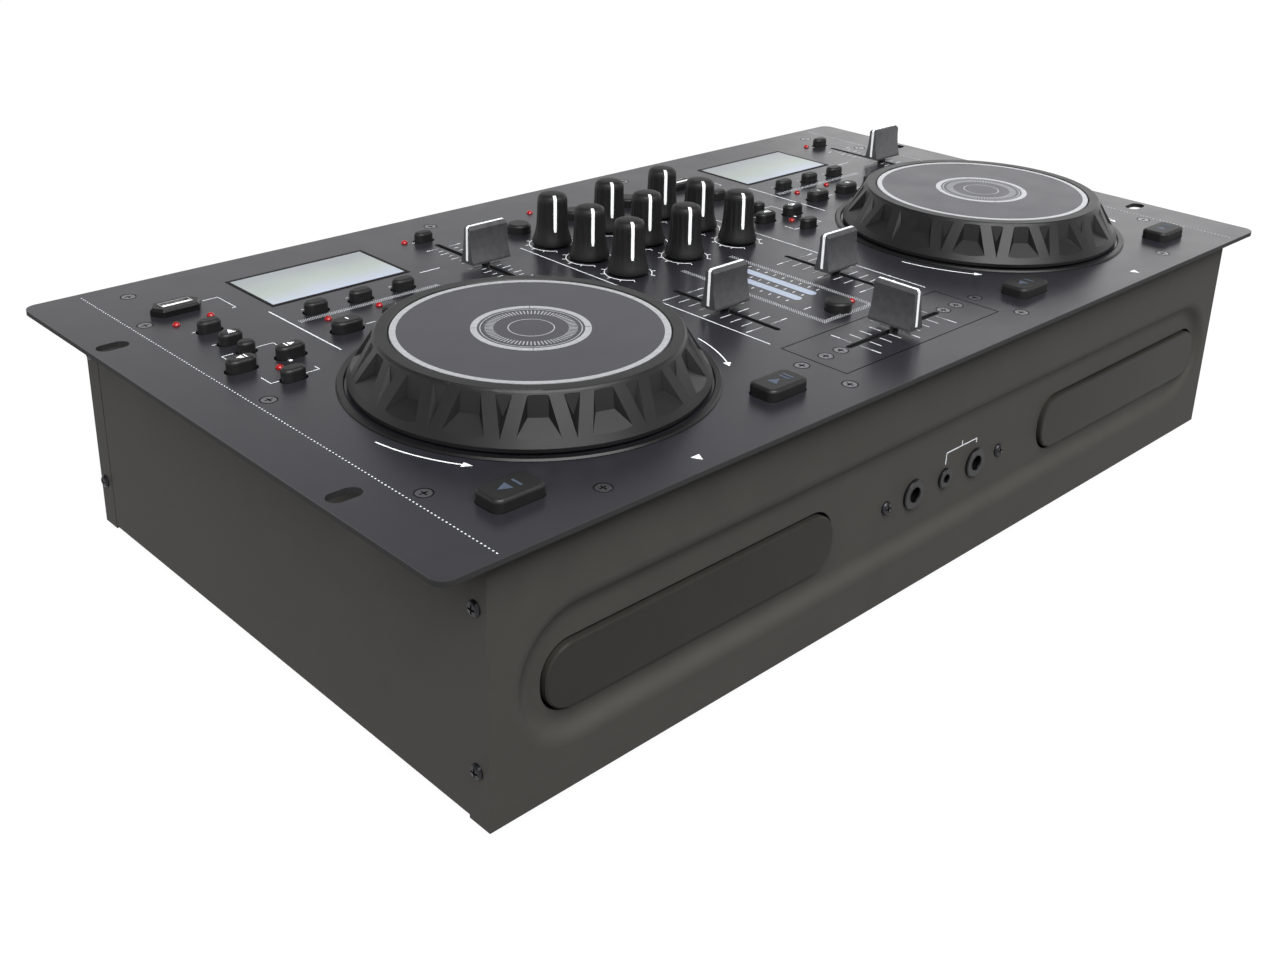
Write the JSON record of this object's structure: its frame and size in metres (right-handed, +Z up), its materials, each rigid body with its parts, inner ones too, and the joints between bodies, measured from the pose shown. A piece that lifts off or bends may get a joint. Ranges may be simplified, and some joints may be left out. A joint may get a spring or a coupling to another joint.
{
  "type": "rack-format disc and memory player console with mixer",
  "caption": "Rack-format console for mixing music: twin disc trays with jog wheels and pitch faders beside a central mixer with knobs, channel faders and a crossfader.",
  "frame": {"origin": "on the surface under the rubber feet, under the middle of the top panel", "axes": "+X to the user's right along the long side of the panel, +Y away from the user to the back, +Z up"},
  "size_m": [0.4826, 0.2658, 0.1248],
  "materials": {
    "panel_paint": "satin powder coat",
    "case_paint": "satin powder coat",
    "foot_rubber": "matte",
    "screw_steel": "black nickel",
    "wheel_plastic": "fine texture",
    "plate_satin": "satin",
    "bezel_plastic": "satin",
    "bearing_brass": "turned",
    "control_metal": "plain",
    "window_glass": "clear",
    "lamp_red": "clear tinted",
    "meter_plastic": "frosted",
    "port_plastic": "plain",
    "board_green": "solder resist",
    "drive_plastic": "plain",
    "drive_metal": "plain",
    "tray_plastic": "fine texture",
    "knob_rubber": "matte",
    "cap_plastic": "satin paint",
    "key_plastic": "fine texture"
  },
  "bodies": {
    "console": {"case_screws": "screw_steel", "chassis_shell": "case_paint", "control_board": "board_green", "crossfader_plate": "panel_paint", "disc_traverses": "drive_metal", "display_windows": "window_glass", "drive_frames": "drive_plastic", "fader_tracks": "control_metal", "front_jacks": "port_plastic", "front_panel": "case_paint", "indicator_leds": "lamp_red", "jog_bearings": "bearing_brass", "jog_bezels": "bezel_plastic", "level_meter": "meter_plastic", "main_board": "board_green", "panel_screws": "screw_steel", "power_inlet": "port_plastic", "power_supply": "board_green", "rear_panel": "case_paint", "rear_sockets": "port_plastic", "rotary_pots": "control_metal", "rubber_feet": "foot_rubber", "top_panel": "panel_paint", "usb_ports": "port_plastic"},
    "left_wheel": {"left_jog_wheel": "wheel_plastic", "left_jog_plate": "plate_satin"},
    "right_wheel": {"right_jog_wheel": "wheel_plastic", "right_jog_plate": "plate_satin"},
    "left_tray": {"left_disc_tray": "tray_plastic"},
    "right_tray": {"right_disc_tray": "tray_plastic"},
    "left_pitch": {"left_pitch_fader": "cap_plastic"},
    "right_pitch": {"right_pitch_fader": "cap_plastic"},
    "left_channel": {"left_channel_fader": "cap_plastic"},
    "right_channel": {"right_channel_fader": "cap_plastic"},
    "cross": {"crossfader": "cap_plastic"},
    "left_high": {"left_high_knob": "knob_rubber"},
    "left_mid": {"left_mid_knob": "knob_rubber"},
    "left_low": {"left_low_knob": "knob_rubber"},
    "mic_level": {"mic_level_knob": "knob_rubber"},
    "master_level": {"master_level_knob": "knob_rubber"},
    "phones_level": {"phones_level_knob": "knob_rubber"},
    "right_high": {"right_high_knob": "knob_rubber"},
    "right_mid": {"right_mid_knob": "knob_rubber"},
    "right_low": {"right_low_knob": "knob_rubber"},
    "power": {"power_switch": "port_plastic"},
    "left_cue_key_travel": {"left_cue_key": "key_plastic"},
    "left_play_key_travel": {"left_play_key": "key_plastic"},
    "left_source_keys_travel": {"left_source_keys": "key_plastic"},
    "left_track_keys_travel": {"left_track_keys": "key_plastic"},
    "left_display_keys_travel": {"left_display_keys": "key_plastic"},
    "left_loop_keys_travel": {"left_loop_keys": "key_plastic"},
    "left_pitch_key_travel": {"left_pitch_key": "key_plastic"},
    "right_cue_key_travel": {"right_cue_key": "key_plastic"},
    "right_play_key_travel": {"right_play_key": "key_plastic"},
    "right_source_keys_travel": {"right_source_keys": "key_plastic"},
    "right_track_keys_travel": {"right_track_keys": "key_plastic"},
    "right_display_keys_travel": {"right_display_keys": "key_plastic"},
    "right_loop_keys_travel": {"right_loop_keys": "key_plastic"},
    "right_pitch_key_travel": {"right_pitch_key": "key_plastic"},
    "mixer_keys_travel": {"mixer_keys": "key_plastic"}
  },
  "joints": [
    {"name": "left_wheel_turn", "type": "hinge", "parent": "console", "child": "left_wheel", "pos_m": [-0.1351, -0.0427, 0.1012], "axis": [0, 0, 1], "continuous": true},
    {"name": "right_wheel_turn", "type": "hinge", "parent": "console", "child": "right_wheel", "pos_m": [0.1399, -0.0427, 0.1012], "axis": [0, 0, 1], "continuous": true},
    {"name": "left_tray_slide", "type": "slide", "parent": "console", "child": "left_tray", "axis": [0, -1, 0], "range_m": [0, 0.13]},
    {"name": "right_tray_slide", "type": "slide", "parent": "console", "child": "right_tray", "axis": [0, -1, 0], "range_m": [0, 0.13]},
    {"name": "left_pitch_slide", "type": "slide", "parent": "console", "child": "left_pitch", "axis": [0, 1, 0], "range_m": [-0.03, 0.03]},
    {"name": "right_pitch_slide", "type": "slide", "parent": "console", "child": "right_pitch", "axis": [0, 1, 0], "range_m": [-0.03, 0.03]},
    {"name": "left_channel_slide", "type": "slide", "parent": "console", "child": "left_channel", "axis": [0, 1, 0], "range_m": [-0.0225, 0.0225]},
    {"name": "right_channel_slide", "type": "slide", "parent": "console", "child": "right_channel", "axis": [0, 1, 0], "range_m": [-0.0225, 0.0225]},
    {"name": "crossfader_slide", "type": "slide", "parent": "console", "child": "cross", "axis": [1, 0, 0], "range_m": [-0.0225, 0.0225]},
    {"name": "left_high_turn", "type": "hinge", "parent": "console", "child": "left_high", "pos_m": [-0.034, 0.064, 0.1012], "axis": [0, 0, -1], "range_deg": [0, 300]},
    {"name": "left_mid_turn", "type": "hinge", "parent": "console", "child": "left_mid", "pos_m": [-0.034, 0.0394, 0.1012], "axis": [0, 0, -1], "range_deg": [0, 300]},
    {"name": "left_low_turn", "type": "hinge", "parent": "console", "child": "left_low", "pos_m": [-0.034, 0.0148, 0.1012], "axis": [0, 0, -1], "range_deg": [0, 300]},
    {"name": "mic_level_turn", "type": "hinge", "parent": "console", "child": "mic_level", "pos_m": [0, 0.064, 0.1012], "axis": [0, 0, -1], "range_deg": [0, 300]},
    {"name": "master_level_turn", "type": "hinge", "parent": "console", "child": "master_level", "pos_m": [0, 0.0394, 0.1012], "axis": [0, 0, -1], "range_deg": [0, 300]},
    {"name": "phones_level_turn", "type": "hinge", "parent": "console", "child": "phones_level", "pos_m": [0, 0.0148, 0.1012], "axis": [0, 0, -1], "range_deg": [0, 300]},
    {"name": "right_high_turn", "type": "hinge", "parent": "console", "child": "right_high", "pos_m": [0.034, 0.064, 0.1012], "axis": [0, 0, -1], "range_deg": [0, 300]},
    {"name": "right_mid_turn", "type": "hinge", "parent": "console", "child": "right_mid", "pos_m": [0.034, 0.0394, 0.1012], "axis": [0, 0, -1], "range_deg": [0, 300]},
    {"name": "right_low_turn", "type": "hinge", "parent": "console", "child": "right_low", "pos_m": [0.034, 0.0148, 0.1012], "axis": [0, 0, -1], "range_deg": [0, 300]},
    {"name": "power_rock", "type": "hinge", "parent": "console", "child": "power", "pos_m": [-0.13, 0.12475, 0.045], "axis": [-1, 0, 0], "range_deg": [0, 16]},
    {"name": "left_cue_key_press", "type": "slide", "parent": "console", "child": "left_cue_key_travel", "axis": [0, 0, -1], "range_m": [0, 0.0012], "stiffness_N_per_m": 300, "springref_m": -0.001},
    {"name": "left_play_key_press", "type": "slide", "parent": "console", "child": "left_play_key_travel", "axis": [0, 0, -1], "range_m": [0, 0.0012], "stiffness_N_per_m": 300, "springref_m": -0.001},
    {"name": "left_source_keys_press", "type": "slide", "parent": "console", "child": "left_source_keys_travel", "axis": [0, 0, -1], "range_m": [0, 0.0012], "stiffness_N_per_m": 300, "springref_m": -0.001},
    {"name": "left_track_keys_press", "type": "slide", "parent": "console", "child": "left_track_keys_travel", "axis": [0, 0, -1], "range_m": [0, 0.0012], "stiffness_N_per_m": 300, "springref_m": -0.001},
    {"name": "left_display_keys_press", "type": "slide", "parent": "console", "child": "left_display_keys_travel", "axis": [0, 0, -1], "range_m": [0, 0.0012], "stiffness_N_per_m": 300, "springref_m": -0.001},
    {"name": "left_loop_keys_press", "type": "slide", "parent": "console", "child": "left_loop_keys_travel", "axis": [0, 0, -1], "range_m": [0, 0.0012], "stiffness_N_per_m": 300, "springref_m": -0.001},
    {"name": "left_pitch_key_press", "type": "slide", "parent": "console", "child": "left_pitch_key_travel", "axis": [0, 0, -1], "range_m": [0, 0.0012], "stiffness_N_per_m": 300, "springref_m": -0.001},
    {"name": "right_cue_key_press", "type": "slide", "parent": "console", "child": "right_cue_key_travel", "axis": [0, 0, -1], "range_m": [0, 0.0012], "stiffness_N_per_m": 300, "springref_m": -0.001},
    {"name": "right_play_key_press", "type": "slide", "parent": "console", "child": "right_play_key_travel", "axis": [0, 0, -1], "range_m": [0, 0.0012], "stiffness_N_per_m": 300, "springref_m": -0.001},
    {"name": "right_source_keys_press", "type": "slide", "parent": "console", "child": "right_source_keys_travel", "axis": [0, 0, -1], "range_m": [0, 0.0012], "stiffness_N_per_m": 300, "springref_m": -0.001},
    {"name": "right_track_keys_press", "type": "slide", "parent": "console", "child": "right_track_keys_travel", "axis": [0, 0, -1], "range_m": [0, 0.0012], "stiffness_N_per_m": 300, "springref_m": -0.001},
    {"name": "right_display_keys_press", "type": "slide", "parent": "console", "child": "right_display_keys_travel", "axis": [0, 0, -1], "range_m": [0, 0.0012], "stiffness_N_per_m": 300, "springref_m": -0.001},
    {"name": "right_loop_keys_press", "type": "slide", "parent": "console", "child": "right_loop_keys_travel", "axis": [0, 0, -1], "range_m": [0, 0.0012], "stiffness_N_per_m": 300, "springref_m": -0.001},
    {"name": "right_pitch_key_press", "type": "slide", "parent": "console", "child": "right_pitch_key_travel", "axis": [0, 0, -1], "range_m": [0, 0.0012], "stiffness_N_per_m": 300, "springref_m": -0.001},
    {"name": "mixer_keys_press", "type": "slide", "parent": "console", "child": "mixer_keys_travel", "axis": [0, 0, -1], "range_m": [0, 0.0012], "stiffness_N_per_m": 300, "springref_m": -0.001}
  ]
}
